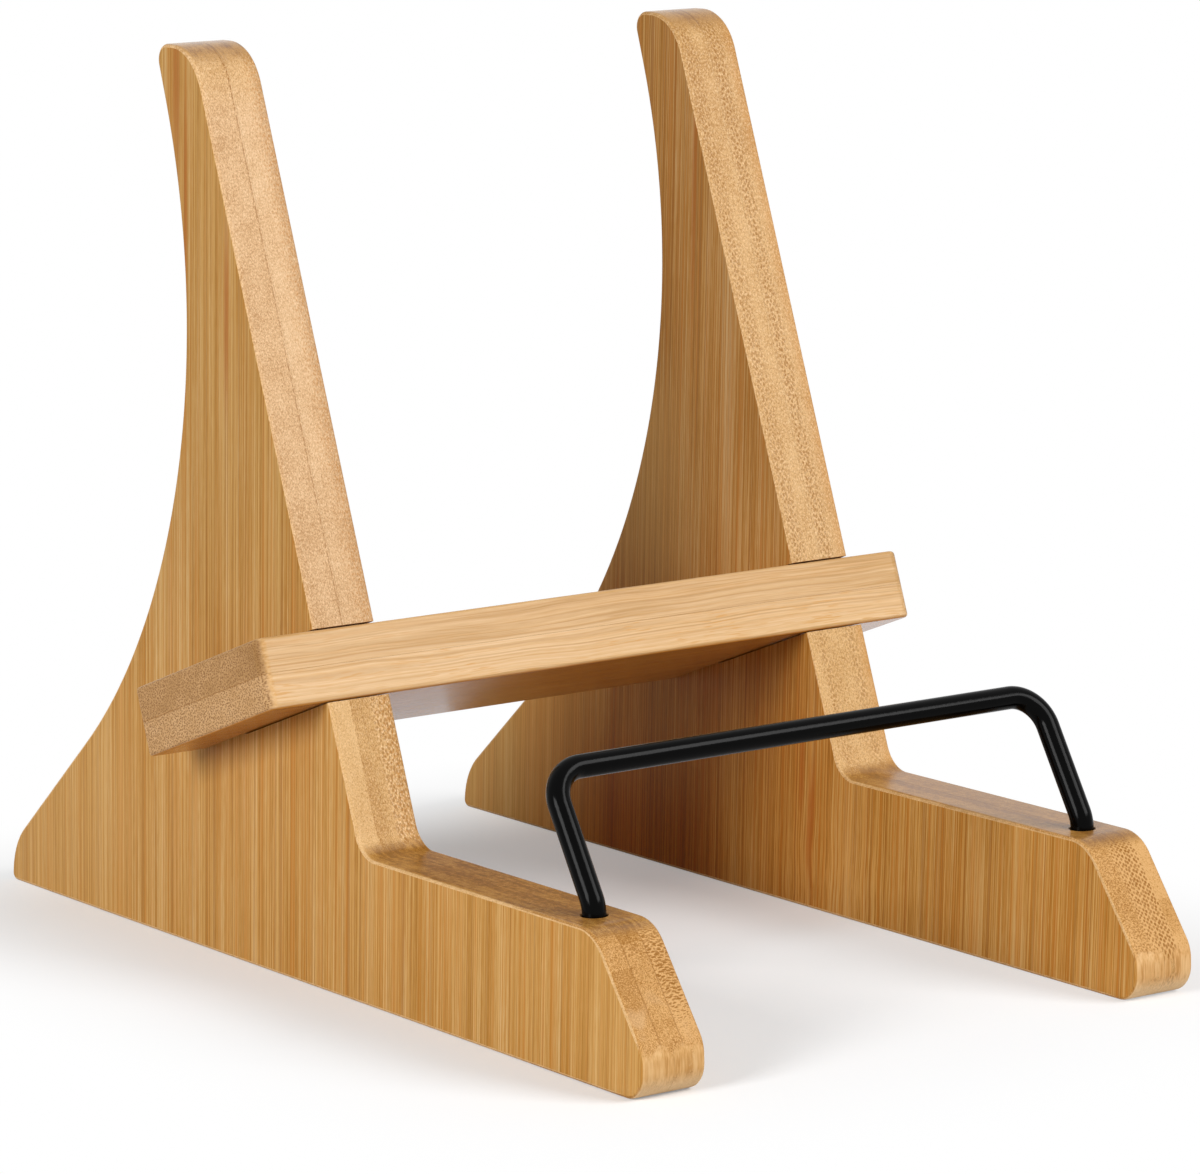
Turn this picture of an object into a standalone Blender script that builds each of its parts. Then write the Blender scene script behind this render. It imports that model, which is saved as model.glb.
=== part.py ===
"""Knock-down book stand: two bamboo side panels, a bamboo cross brace and a bent wire stop.

The feet stand on the plane z = 0. -Y is the front, where the wire stop rises from the feet, and
the book leans back on the two uprights. Each board is laminated from two plies with a glue line
between them. The brace laps into slots in the panels, and the wire's ends plug into blind holes,
so that the stand comes apart by hand. Left and right are as seen from the front.
"""

import math

import bmesh
import bpy
from mathutils import Matrix, Vector

# The collections: the pieces, and the shapes that only cut them
STAND = "book_stand"
CUTTERS = "cutters"

# Boards: thickness, the seam between the plies, the rounding of their edges, the play of a lap
BOARD = 0.018
GLUE_LINE = 0.0001
ARRIS = 0.001
SLIP = 0.0003

# Side panels: heights, and distances measured back from the lip at the front of the foot
PANEL_SPREAD = 0.165
PANEL_HEIGHT = 0.232
FOOT_HEIGHT = 0.0375
FRONT_EDGE_SET = 0.119
NOSE_SET = 0.019
LIP_HEIGHT = 0.0118
HEEL_SET = 0.2985
KNUCKLE_HEIGHT = 0.0105
CROWN_WIDTH = 0.019
UPRIGHT_LEAN = math.radians(19.5)
CROWN_REAR_LEAN = math.radians(17.2)
HEEL_LEAN = math.radians(7.0)
TAIL_SLOPE = math.radians(39.2)

# Side panels: the radii that round the outline, from the heel up the back and down the front
HEEL_RADIUS = 0.002
KNUCKLE_RADIUS = 0.019
BACK_RADIUS = 0.162
CROWN_REAR_RADIUS = 0.0043
CROWN_FRONT_RADIUS = 0.0146
SEAT_RADIUS = 0.0085
NOSE_RADIUS = 0.0112
LIP_RADIUS = 0.0088
CHIN_RADIUS = 0.0072

# Cross brace: BRACE_TOP is the height of its top front edge
BRACE_LENGTH = 0.198
BRACE_DEPTH = 0.0645
BRACE_TOP = 0.0912
SLOT_DEPTH = 0.0426
BRACE_FRONT_RADIUS = 0.0028
BRACE_REAR_RADIUS = 0.0015

# Wire stop: its rise above the foot and its set-back from the holes are to the bar's centre line
WIRE = 0.0058
HOLE_SET = 0.0313
HOLE_CLEARANCE = 0.0003
PLUG_DEPTH = 0.020
STOP_RISE = 0.0314
STOP_SET_BACK = 0.0178
LEG_BEND_RADIUS = 0.008
CORNER_BEND_RADIUS = 0.0088

# Fineness of the curved surfaces, the weld between loose ends, and how far a cut runs past
CHORD_ERROR = 0.00003
WIRE_ROUNDNESS = 6
ARRIS_ROUNDNESS = 1
HOLE_SIDES = 40
WELD = 0.00001
OVERRUN = 0.005

# Colours as linear RGB, and how rough the surfaces are
SIDE_BAMBOO = (0.56, 0.33, 0.13)
BRACE_BAMBOO = (0.66, 0.42, 0.19)
WIRE_BLACK = (0.010, 0.010, 0.011)
BAMBOO_ROUGHNESS = 0.5
WIRE_ROUGHNESS = 0.3


def clear_scene():
    for obj in list(bpy.data.objects):
        bpy.data.objects.remove(obj, do_unlink=True)


def new_collection(name):
    collection = bpy.data.collections.new(name)
    bpy.context.scene.collection.children.link(collection)


def link(obj, name):
    """Puts an object in the collection of this name, and in no other."""
    for holder in list(obj.users_collection):
        holder.objects.unlink(obj)
    bpy.data.collections[name].objects.link(obj)


def new_material(name, colour, roughness):
    material = bpy.data.materials.new(name)
    material.use_nodes = True
    shader = material.node_tree.nodes["Principled BSDF"]
    shader.inputs["Base Color"].default_value = (*colour, 1)
    shader.inputs["Roughness"].default_value = roughness
    shader.inputs["Metallic"].default_value = 0
    return material


def crossing(point_a, direction_a, point_b, direction_b):
    """Where two lines in a plane cross."""
    along = (point_b - point_a).cross(direction_b) / direction_a.cross(direction_b)
    return point_a + direction_a * along


def tangent_length(last, corner, following, radius):
    """How far from a corner its rounding starts, along either edge."""
    return radius * math.tan((corner - last).angle(following - corner) / 2)


def arc(last, corner, following, radius):
    """Points along the arc that rounds a corner, in a plane or in space."""
    if radius < WELD:
        return [corner]
    arriving = (corner - last).normalized()
    leaving = (following - corner).normalized()
    turn = arriving.angle(leaving)
    start = corner - arriving * radius * math.tan(turn / 2)
    inward = (leaving - arriving * arriving.dot(leaving)).normalized()
    centre = start + inward * radius
    chord_turn = 2 * math.acos(1 - min(CHORD_ERROR / radius, 1))
    steps = max(2, math.ceil(turn / chord_turn))
    angles = [turn * step / steps for step in range(steps + 1)]
    return [centre + (arriving * math.sin(a) - inward * math.cos(a)) * radius for a in angles]


def rounded(corners):
    """A closed outline from (corner, radius) pairs, each corner rounded by an arc.

    Where an edge is too short for the roundings at both its ends, they give way alike.
    """
    count = len(corners)
    points = [point for point, radius in corners]
    reach = [
        tangent_length(points[i - 1], points[i], points[(i + 1) % count], corners[i][1])
        for i in range(count)
    ]
    share = []
    for i in range(count):
        edge = (points[(i + 1) % count] - points[i]).length
        share.append(edge / max(reach[i] + reach[(i + 1) % count], WELD))
    outline = []
    for i, (point, radius) in enumerate(corners):
        fitting = radius * min(1, share[i - 1], share[i])
        outline += arc(points[i - 1], point, points[(i + 1) % count], fitting)
    return outline


def panel_outline():
    """A side panel's outline as (distance behind the lip, height), up the back and down the front."""
    up_front = Vector((math.tan(UPRIGHT_LEAN), 1))
    up_rear = Vector((math.tan(CROWN_REAR_LEAN), 1))
    up_tail = Vector((-math.cos(TAIL_SLOPE), math.sin(TAIL_SLOPE)))
    knuckle = Vector((HEEL_SET - KNUCKLE_HEIGHT * math.tan(HEEL_LEAN), KNUCKLE_HEIGHT))
    seat = Vector((FRONT_EDGE_SET, FOOT_HEIGHT))
    crown_front = seat + up_front * (PANEL_HEIGHT - FOOT_HEIGHT)
    crown_rear = crown_front + Vector((CROWN_WIDTH, 0))
    waist = crossing(knuckle, up_tail, crown_rear, up_rear)
    return rounded([
        (Vector((HEEL_SET, 0)), HEEL_RADIUS),
        (knuckle, KNUCKLE_RADIUS),
        (waist, BACK_RADIUS),
        (crown_rear, CROWN_REAR_RADIUS),
        (crown_front, CROWN_FRONT_RADIUS),
        (seat, SEAT_RADIUS),
        (Vector((NOSE_SET, FOOT_HEIGHT)), NOSE_RADIUS),
        (Vector((0, LIP_HEIGHT)), LIP_RADIUS),
        (Vector((0, 0)), CHIN_RADIUS),
    ])


def brace_outline():
    """The brace's outline as (distance along it, distance behind its front edge)."""
    half = BRACE_LENGTH / 2
    return rounded([
        (Vector((-half, 0)), BRACE_FRONT_RADIUS),
        (Vector((half, 0)), BRACE_FRONT_RADIUS),
        (Vector((half, BRACE_DEPTH)), BRACE_REAR_RADIUS),
        (Vector((-half, BRACE_DEPTH)), BRACE_REAR_RADIUS),
    ])


def new_curve(name, points, cyclic):
    curve = bpy.data.curves.new(name, "CURVE")
    spline = curve.splines.new("POLY")
    spline.points.add(len(points) - 1)
    for knot, point in zip(spline.points, points):
        knot.co = (*point.to_3d(), 1)
    spline.use_cyclic_u = cyclic
    return curve


def board_mesh(name, outline, material):
    """A full board cut to an outline, its arrises rounded, lying in its own XY plane."""
    curve = new_curve(name, outline, cyclic=True)
    curve.dimensions = "2D"
    curve.fill_mode = "BOTH"
    curve.extrude = BOARD / 2 - ARRIS
    curve.bevel_depth = ARRIS
    curve.bevel_resolution = ARRIS_ROUNDNESS
    curve.offset = -ARRIS
    drawn = bpy.data.objects.new(name, curve)
    link(drawn, CUTTERS)
    bpy.context.view_layer.update()
    evaluated = drawn.evaluated_get(bpy.context.evaluated_depsgraph_get())
    mesh = bpy.data.meshes.new_from_object(evaluated)
    bpy.data.objects.remove(drawn, do_unlink=True)
    shell = bmesh.new()
    shell.from_mesh(mesh)
    bmesh.ops.remove_doubles(shell, verts=shell.verts, dist=WELD)
    bmesh.ops.recalc_face_normals(shell, faces=shell.faces)
    shell.to_mesh(mesh)
    shell.free()
    mesh.materials.clear()
    mesh.materials.append(material)
    return mesh


def as_cutter(obj, name, place):
    """Puts a shape that only cuts, and isn't drawn, in its place."""
    obj.name = name
    obj.data.transform(place)
    obj.hide_render = True
    obj.display_type = "WIRE"
    link(obj, CUTTERS)
    return obj


def block(name, low, high, place):
    """A cutting block from its low to its high corner, in the frame of place."""
    bpy.ops.mesh.primitive_cube_add(size=1)
    low, high = Vector(low), Vector(high)
    box = Matrix.Translation((low + high) / 2) @ Matrix.Diagonal((*(high - low), 1))
    return as_cutter(bpy.context.object, name, place @ box)


def drill(name, radius, bottom, top, place):
    """A drill along the Z axis of place, from bottom to top."""
    bpy.ops.mesh.primitive_cylinder_add(vertices=HOLE_SIDES, radius=radius, depth=top - bottom)
    middle = Matrix.Translation((0, 0, (top + bottom) / 2))
    return as_cutter(bpy.context.object, name, place @ middle)


def cut(obj, cutter, operation="DIFFERENCE"):
    modifier = obj.modifiers.new(cutter.name, "BOOLEAN")
    modifier.operation = operation
    modifier.solver = "EXACT"
    modifier.object = cutter


def carrier(name, place):
    """An empty that carries the pieces which belong together, as the frame they are drawn in."""
    empty = bpy.data.objects.new(name, None)
    empty.matrix_world = place
    empty.empty_display_size = BOARD
    link(empty, STAND)
    return empty


def laminate(board, mesh, names, cutters):
    """The two plies of a board, on the -Z and the +Z side of its carrier's frame, with its cuts."""
    place = board.matrix_world
    reach = max(vertex.co.length for vertex in mesh.vertices) + OVERRUN
    for name, side in zip(names, (-1, 1)):
        depths = sorted((side * GLUE_LINE / 2, side * (BOARD / 2 + OVERRUN)))
        low, high = ((end * reach, end * reach, depth) for end, depth in zip((-1, 1), depths))
        ply = bpy.data.objects.new(name, mesh.copy())
        ply.parent = board
        link(ply, STAND)
        cut(ply, block(f"{name}_stock", low, high, place), "INTERSECT")
        for cutter in cutters:
            cut(ply, cutter)


def frame_at(origin, x_axis, y_axis):
    """The matrix of a frame, from its origin and two of its axes."""
    turn = Matrix((x_axis, y_axis, Vector(x_axis).cross(Vector(y_axis)))).transposed()
    return Matrix.Translation(origin) @ turn.to_4x4()


def brace_frame(lip):
    """The brace's frame: X along it, Y from its front edge to its rear, Z out of its top."""
    rearward = Vector((0, math.cos(UPRIGHT_LEAN), -math.sin(UPRIGHT_LEAN)))
    upward = Vector((0, math.sin(UPRIGHT_LEAN), math.cos(UPRIGHT_LEAN)))
    rise = BRACE_TOP - FOOT_HEIGHT
    top_front = Vector((0, lip + FRONT_EDGE_SET + rise * math.tan(UPRIGHT_LEAN), BRACE_TOP))
    return frame_at(top_front - upward * BOARD / 2, (1, 0, 0), rearward)


def panel_middle():
    """How far the middle of a side panel's thickness lies from the stand's middle plane."""
    return (PANEL_SPREAD - BOARD) / 2


def build_panels(lip, outline):
    """Both side panels, each slotted for the brace and drilled for the wire."""
    mesh = board_mesh("side_panel", outline, new_material("side_bamboo", SIDE_BAMBOO, BAMBOO_ROUGHNESS))
    half_slot = BOARD / 2 + SLIP
    slot = block(
        "brace_slot",
        (-PANEL_SPREAD, -OVERRUN, -half_slot),
        (PANEL_SPREAD, SLOT_DEPTH, half_slot),
        brace_frame(lip),
    )
    for word, side in (("left", -1), ("right", 1)):
        middle = side * panel_middle()
        hole = drill(
            f"{word}_plug_hole",
            WIRE / 2 + HOLE_CLEARANCE,
            -PLUG_DEPTH - HOLE_CLEARANCE,
            OVERRUN,
            Matrix.Translation((middle, lip + HOLE_SET, FOOT_HEIGHT)),
        )
        board = carrier(f"{word}_panel", frame_at(Vector((middle, lip, 0)), (0, 1, 0), (0, 0, 1)))
        names = [f"{word}_panel_outer_ply", f"{word}_panel_inner_ply"]
        laminate(board, mesh, names[::-side], [slot, hole])


def build_brace(lip):
    """The cross brace, notched from its rear edge for both side panels."""
    material = new_material("brace_bamboo", BRACE_BAMBOO, BAMBOO_ROUGHNESS)
    board = carrier("cross_brace", brace_frame(lip))
    half_notch = BOARD / 2 + SLIP
    notches = []
    for word, side in (("left", -1), ("right", 1)):
        middle = side * panel_middle()
        low = (middle - half_notch, SLOT_DEPTH - SLIP, -BOARD)
        high = (middle + half_notch, BRACE_DEPTH + OVERRUN, BOARD)
        notches.append(block(f"{word}_brace_notch", low, high, board.matrix_world))
    mesh = board_mesh("brace", brace_outline(), material)
    laminate(board, mesh, ["brace_lower_ply", "brace_upper_ply"], notches)


def stop_path():
    """The wire's centre line, from the foot's top midway between the two holes.

    Each leg's lower bend ends where the leg enters the wood, so that the plug is straight.
    """
    half = panel_middle()
    slack = STOP_SET_BACK - 2 * LEG_BEND_RADIUS
    half_turn = STOP_SET_BACK / (STOP_RISE + math.sqrt(STOP_RISE**2 + STOP_SET_BACK * slack))
    knee = LEG_BEND_RADIUS * half_turn
    corners = [
        (Vector((-half, 0, -PLUG_DEPTH)), 0),
        (Vector((-half, 0, knee)), LEG_BEND_RADIUS),
        (Vector((-half, STOP_SET_BACK, STOP_RISE)), CORNER_BEND_RADIUS),
        (Vector((half, STOP_SET_BACK, STOP_RISE)), CORNER_BEND_RADIUS),
        (Vector((half, 0, knee)), LEG_BEND_RADIUS),
        (Vector((half, 0, -PLUG_DEPTH)), 0),
    ]
    points = [point for point, radius in corners]
    path = [points[0]]
    for last, (corner, radius), following in zip(points, corners[1:], points[2:]):
        path += arc(last, corner, following, radius)
    return path + [points[-1]]


def build_wire_stop(lip):
    """The bent wire, its origin midway between the holes at the level of the foot's top."""
    curve = new_curve("wire_stop", stop_path(), cyclic=False)
    curve.dimensions = "3D"
    curve.bevel_depth = WIRE / 2
    curve.bevel_resolution = WIRE_ROUNDNESS
    curve.use_fill_caps = True
    curve.materials.append(new_material("wire_black", WIRE_BLACK, WIRE_ROUGHNESS))
    wire = bpy.data.objects.new("wire_stop", curve)
    wire.location = (0, lip + HOLE_SET, FOOT_HEIGHT)
    link(wire, STAND)


def build():
    clear_scene()
    new_collection(STAND)
    new_collection(CUTTERS)
    outline = panel_outline()
    distances = [point.x for point in outline]
    lip = -(min(distances) + max(distances)) / 2
    build_panels(lip, outline)
    build_brace(lip)
    build_wire_stop(lip)


build()
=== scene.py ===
"""The looks of a knock-down bamboo book stand.

Each board's ply is made again with finely rounded edges, and so is the bent wire stop. The bamboo
is a solid pattern: its fibres run up the side panels and along the cross brace, so that the faces
show lines, and the edges that cut across the fibres show dots. Sizes are in metres, and places in
the bamboo's pattern are in millimetres.
"""

import math

import bmesh
import bpy
from mathutils import Matrix, Vector


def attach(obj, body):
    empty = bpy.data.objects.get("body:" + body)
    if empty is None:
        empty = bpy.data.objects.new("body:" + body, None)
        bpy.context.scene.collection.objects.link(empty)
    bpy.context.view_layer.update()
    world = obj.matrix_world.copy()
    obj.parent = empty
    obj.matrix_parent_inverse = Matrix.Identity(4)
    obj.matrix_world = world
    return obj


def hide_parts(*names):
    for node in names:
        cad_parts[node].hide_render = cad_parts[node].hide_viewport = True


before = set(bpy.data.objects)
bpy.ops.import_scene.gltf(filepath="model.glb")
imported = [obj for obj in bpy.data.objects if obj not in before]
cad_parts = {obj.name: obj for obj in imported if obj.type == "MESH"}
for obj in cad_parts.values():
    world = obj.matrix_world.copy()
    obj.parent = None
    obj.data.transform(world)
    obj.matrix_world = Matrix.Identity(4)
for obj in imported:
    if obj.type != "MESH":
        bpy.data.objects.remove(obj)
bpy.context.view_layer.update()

MM = 1000

# Sizes of the boards, as in the model's own source
BOARD = 0.018
SEAM = 0.00004
ARRIS = 0.001
SLIP = 0.0003
PANEL_MIDDLE = 0.0735
LEAN = math.radians(19.5)
LIP = -0.1491125
FOOT_TOP = 0.0375
SLOT_DEPTH = 0.0426
BRACE_HALF_LENGTH = 0.099
BRACE_DEPTH = 0.0645
BRACE_TOP = 0.0912
FRONT_EDGE_SET = 0.119

# Corners of a side panel, from the heel up the back and down the front: distance behind the lip,
# height, and the radius that rounds the corner
PANEL_CORNERS = [
    (0.2985, 0.0, 0.002),
    (0.297211, 0.0105, 0.019),
    (0.170341, 0.113973, 0.162),
    (0.206876, 0.232, 0.0043),
    (0.187876, 0.232, 0.0146),
    (FRONT_EDGE_SET, FOOT_TOP, 0.0085),
    (0.019, FOOT_TOP, 0.0112),
    (0.0, 0.0118, 0.0088),
    (0.0, 0.0, 0.0072),
]

# Corners of the cross brace: distance along it, distance behind its front edge, and the radius
BRACE_CORNERS = [
    (-BRACE_HALF_LENGTH, 0.0, 0.0028),
    (BRACE_HALF_LENGTH, 0.0, 0.0028),
    (BRACE_HALF_LENGTH, BRACE_DEPTH, 0.0015),
    (-BRACE_HALF_LENGTH, BRACE_DEPTH, 0.0015),
]

# Sizes of the wire stop, and of the holes that it plugs into
WIRE = 0.0058
HOLE_SET = 0.0313
HOLE_RADIUS = WIRE / 2 + 0.0003
HOLE_CHAMFER = 0.0002
PLUG_DEPTH = 0.020
PLUG_CHAMFER = 0.0006
STOP_RISE = 0.0314
STOP_SET_BACK = 0.0178
LEG_BEND = 0.008
CORNER_BEND = 0.0088

# How finely shapes are rounded
CHORD_ERROR = 0.000004
LEAST_STEPS = 4
ARRIS_STEPS = 4
CHAMFER_STEPS = 3
HOLE_SIDES = 64
WIRE_SIDES = 36
SHARP_ANGLE = math.radians(32)

# How far the shape that cuts a slot reaches past the boards: along the brace, and ahead of it
CUT_HALF_LENGTH = 0.2
CUT_LEAD = 0.02

# The side panels' fibres lean forward a little
GRAIN_LEAN = math.radians(3.6)
PANEL_GRAIN = Vector((0, -math.sin(GRAIN_LEAN), math.cos(GRAIN_LEAN)))
PANEL_WIDTH = Vector((0, math.cos(GRAIN_LEAN), math.sin(GRAIN_LEAN)))

# Directions: along the brace, from its front edge to its rear, and out of its top
ACROSS = Vector((1, 0, 0))
REARWARD = Vector((0, math.cos(LEAN), -math.sin(LEAN)))
BRACE_UP = Vector((0, math.sin(LEAN), math.cos(LEAN)))
BRACE_TOP_SET = FRONT_EDGE_SET + (BRACE_TOP - FOOT_TOP) * math.tan(LEAN)
BRACE_TOP_FRONT = Vector((0, LIP + BRACE_TOP_SET, BRACE_TOP))


def frame_at(origin, x_axis, y_axis):
    """The matrix of a frame, from its origin and two of its axes."""
    turn = Matrix((x_axis, y_axis, Vector(x_axis).cross(Vector(y_axis)))).transposed()
    return Matrix.Translation(origin) @ turn.to_4x4()


def panel_frame(middle):
    """A side panel's frame: X behind the lip, Y up, Z across the board to the right."""
    return frame_at(Vector((middle, LIP, 0)), (0, 1, 0), (0, 0, 1))


def brace_frame():
    """The brace's frame: X along it, Y rearward from its front edge, Z out of its top."""
    return frame_at(BRACE_TOP_FRONT - BRACE_UP * BOARD / 2, ACROSS, REARWARD)


def verts_in(geom):
    return [v for v in geom if isinstance(v, bmesh.types.BMVert)]


def edges_in(geom):
    return [e for e in geom if isinstance(e, bmesh.types.BMEdge)]


def arc_steps(turn, radius):
    """How many steps a turn takes, for its chords to keep close to the arc."""
    return max(LEAST_STEPS, math.ceil(turn / (2 * math.acos(1 - CHORD_ERROR / radius))))


def spin_round(bm, geom, centre, axis, turn, radius):
    """Spins geometry about a centre and gives what it ends as."""
    spun = bmesh.ops.spin(
        bm,
        geom=geom,
        cent=centre,
        axis=axis,
        dvec=(0, 0, 0),
        angle=turn,
        steps=arc_steps(turn, radius),
        use_merge=False,
        use_normal_flip=False,
        use_duplicate=False,
    )
    return spun["geom_last"]


def round_edges(bm, edges, offset, segments):
    bmesh.ops.bevel(
        bm,
        geom=edges,
        offset=offset,
        offset_type="OFFSET",
        segments=segments,
        profile=0.5,
        affect="EDGES",
        material=-1,
    )


def rounded_face(bm, corners):
    """One face in the XY plane, each of its corners rounded by a vertex spun about a centre."""
    points = [Vector((x, y, 0)) for x, y, radius in corners]
    ends = []
    for i, (x, y, radius) in enumerate(corners):
        arriving = (points[i] - points[i - 1]).normalized()
        leaving = (points[(i + 1) % len(points)] - points[i]).normalized()
        turn = arriving.angle(leaving)
        axis = arriving.cross(leaving).normalized()
        start = points[i] - arriving * radius * math.tan(turn / 2)
        centre = start + axis.cross(arriving) * radius
        first = bmesh.ops.create_vert(bm, co=start)["vert"][0]
        last = verts_in(spin_round(bm, [first], centre, axis, turn, radius))[0]
        ends.append((first, last))
    for i, (first, last) in enumerate(ends):
        bmesh.ops.contextual_create(bm, geom=[last, ends[(i + 1) % len(ends)][0]])
    bmesh.ops.contextual_create(bm, geom=bm.edges[:])


def ply_mesh(corners, seam_side, outer_side, place):
    """A board's ply between two levels of its frame, the rim at its outer level rounded."""
    bm = bmesh.new()
    rounded_face(bm, corners)
    bmesh.ops.translate(bm, verts=bm.verts, vec=(0, 0, seam_side))
    top = verts_in(bmesh.ops.extrude_face_region(bm, geom=bm.faces[:])["geom"])
    bmesh.ops.translate(bm, verts=top, vec=(0, 0, outer_side - seam_side))
    raised = set(top)
    rim = [e for e in bm.edges if e.verts[0] in raised and e.verts[1] in raised]
    round_edges(bm, rim, ARRIS, ARRIS_STEPS)
    bmesh.ops.recalc_face_normals(bm, faces=bm.faces)
    bmesh.ops.transform(bm, verts=bm.verts, matrix=place)
    return bm


def block_mesh(low, high, place):
    """A block between two corners of a frame."""
    bm = bmesh.new()
    bmesh.ops.create_cube(bm, size=1)
    low, high = Vector(low), Vector(high)
    bmesh.ops.scale(bm, verts=bm.verts, vec=high - low)
    bmesh.ops.translate(bm, verts=bm.verts, vec=(low + high) / 2)
    bmesh.ops.transform(bm, verts=bm.verts, matrix=place)
    return bm


def run_on(bm, edges, way, scale=1.0):
    """Extrudes a ring of edges along a way, scaled about its middle, and gives the new ring."""
    grown = bmesh.ops.extrude_edge_only(bm, edges=edges)["geom"]
    verts = verts_in(grown)
    bmesh.ops.translate(bm, verts=verts, vec=way)
    if scale != 1.0:
        middle = sum((v.co for v in verts), Vector()) / len(verts)
        space = Matrix.Translation(-middle)
        bmesh.ops.scale(bm, verts=verts, vec=(scale, scale, 1), space=space)
    return edges_in(grown)


def hole_mesh(x, y):
    """The blind hole for a plug, its mouth a little chamfered, as a shape that cuts it."""
    bm = bmesh.new()
    bmesh.ops.create_circle(bm, cap_ends=True, radius=HOLE_RADIUS, segments=HOLE_SIDES)
    bmesh.ops.translate(bm, verts=bm.verts, vec=(x, y, FOOT_TOP - PLUG_DEPTH - SLIP))
    ring = run_on(bm, bm.edges[:], (0, 0, PLUG_DEPTH + SLIP - HOLE_CHAMFER))
    ring = run_on(bm, ring, (0, 0, HOLE_CHAMFER), 1 + HOLE_CHAMFER / HOLE_RADIUS)
    ring = run_on(bm, ring, (0, 0, BOARD))
    bmesh.ops.contextual_create(bm, geom=ring)
    bmesh.ops.recalc_face_normals(bm, faces=bm.faces)
    return bm


def new_object(name, bm):
    mesh = bpy.data.meshes.new(name)
    bm.to_mesh(mesh)
    bm.free()
    made = bpy.data.objects.new(name, mesh)
    bpy.context.scene.collection.objects.link(made)
    return made


def settle(piece):
    """Applies a piece's modifiers to its mesh."""
    bpy.context.view_layer.update()
    evaluated = piece.evaluated_get(bpy.context.evaluated_depsgraph_get())
    mesh = bpy.data.meshes.new_from_object(evaluated)
    piece.modifiers.clear()
    piece.data = mesh


def cut(piece, cutters):
    """Cuts the cutters out of a piece."""
    for cutter in cutters:
        modifier = piece.modifiers.new(cutter.name, "BOOLEAN")
        modifier.operation = "DIFFERENCE"
        modifier.solver = "EXACT"
        modifier.object = cutter
    settle(piece)


def shade(piece):
    """Smooth shading that leaves flat faces flat and the cut edges sharp."""
    piece.data.shade_smooth()
    piece.data.set_sharp_from_angle(angle=SHARP_ANGLE)
    weigh = piece.modifiers.new("weigh", "WEIGHTED_NORMAL")
    weigh.mode = "FACE_AREA"
    weigh.weight = 50
    weigh.keep_sharp = True
    settle(piece)


def put(piece, body, slot, finish, *nodes):
    """Gives a finished piece its finish and its body, and hides the nodes that it stands for."""
    piece.data.materials.clear()
    piece.data.materials.append(finish)
    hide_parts(*nodes)
    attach(piece, body)


def make_panels(finish):
    """Both side panels, ply by ply, slotted for the brace and drilled for the plugs."""
    slot_low = (-CUT_HALF_LENGTH, -CUT_LEAD, -BOARD / 2 - SLIP)
    slot_high = (CUT_HALF_LENGTH, SLOT_DEPTH, BOARD / 2 + SLIP)
    slot = new_object("slot", block_mesh(slot_low, slot_high, brace_frame()))
    for word, side in (("left", -1), ("right", 1)):
        middle = side * PANEL_MIDDLE
        hole = new_object("hole", hole_mesh(middle, LIP + HOLE_SET))
        for ply, level in (("outer", side), ("inner", -side)):
            name = f"{word}_panel_{ply}_ply"
            place = panel_frame(middle)
            bm = ply_mesh(PANEL_CORNERS, level * SEAM / 2, level * BOARD / 2, place)
            piece = new_object(f"{name}_fine", bm)
            cut(piece, [slot, hole])
            shade(piece)
            put(piece, "side_panels", "side_bamboo", finish, name)
        bpy.data.objects.remove(hole, do_unlink=True)
    bpy.data.objects.remove(slot, do_unlink=True)


def make_brace(finish):
    """The cross brace, ply by ply, notched from its rear edge for both panels."""
    notches = []
    for side in (-1, 1):
        low = (side * PANEL_MIDDLE - BOARD / 2 - SLIP, SLOT_DEPTH - SLIP, -BOARD)
        high = (side * PANEL_MIDDLE + BOARD / 2 + SLIP, BRACE_DEPTH + SLIP, BOARD)
        notches.append(new_object("notch", block_mesh(low, high, brace_frame())))
    for ply, level in (("upper", 1), ("lower", -1)):
        bm = ply_mesh(BRACE_CORNERS, level * SEAM / 2, level * BOARD / 2, brace_frame())
        piece = new_object(f"brace_{ply}_ply_fine", bm)
        cut(piece, notches)
        shade(piece)
        put(piece, "cross_brace", "brace_bamboo", finish, f"brace_{ply}_ply")
    for notch in notches:
        bpy.data.objects.remove(notch, do_unlink=True)


class Rod:
    """A round rod, drawn from its end along straight runs and round bends."""

    def __init__(self, start, heading):
        self.bm = bmesh.new()
        self.place = Vector(start)
        self.heading = Vector(heading)
        bmesh.ops.create_circle(self.bm, cap_ends=True, radius=WIRE / 2, segments=WIRE_SIDES)
        bmesh.ops.translate(self.bm, verts=self.bm.verts, vec=self.place)
        self.ring = self.bm.edges[:]

    def run(self, length):
        way = self.heading * length
        self.ring = run_on(self.bm, self.ring, way)
        self.place += way

    def bend(self, towards, radius):
        """Bends the rod round until it heads another way."""
        towards = Vector(towards).normalized()
        turn = self.heading.angle(towards)
        axis = self.heading.cross(towards).normalized()
        centre = self.place + axis.cross(self.heading) * radius
        geom = spin_round(self.bm, self.ring, centre, axis, turn, radius + WIRE / 2)
        self.ring = edges_in(geom)
        self.place = centre + Matrix.Rotation(turn, 3, axis) @ (self.place - centre)
        self.heading = towards

    def finish(self):
        """Closes the end, and chamfers both."""
        bmesh.ops.contextual_create(self.bm, geom=self.ring)
        rims = [e for e in self.bm.edges if any(len(f.verts) > 4 for f in e.link_faces)]
        round_edges(self.bm, rims, PLUG_CHAMFER, CHAMFER_STEPS)
        bmesh.ops.recalc_face_normals(self.bm, faces=self.bm.faces)
        return self.bm


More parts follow.
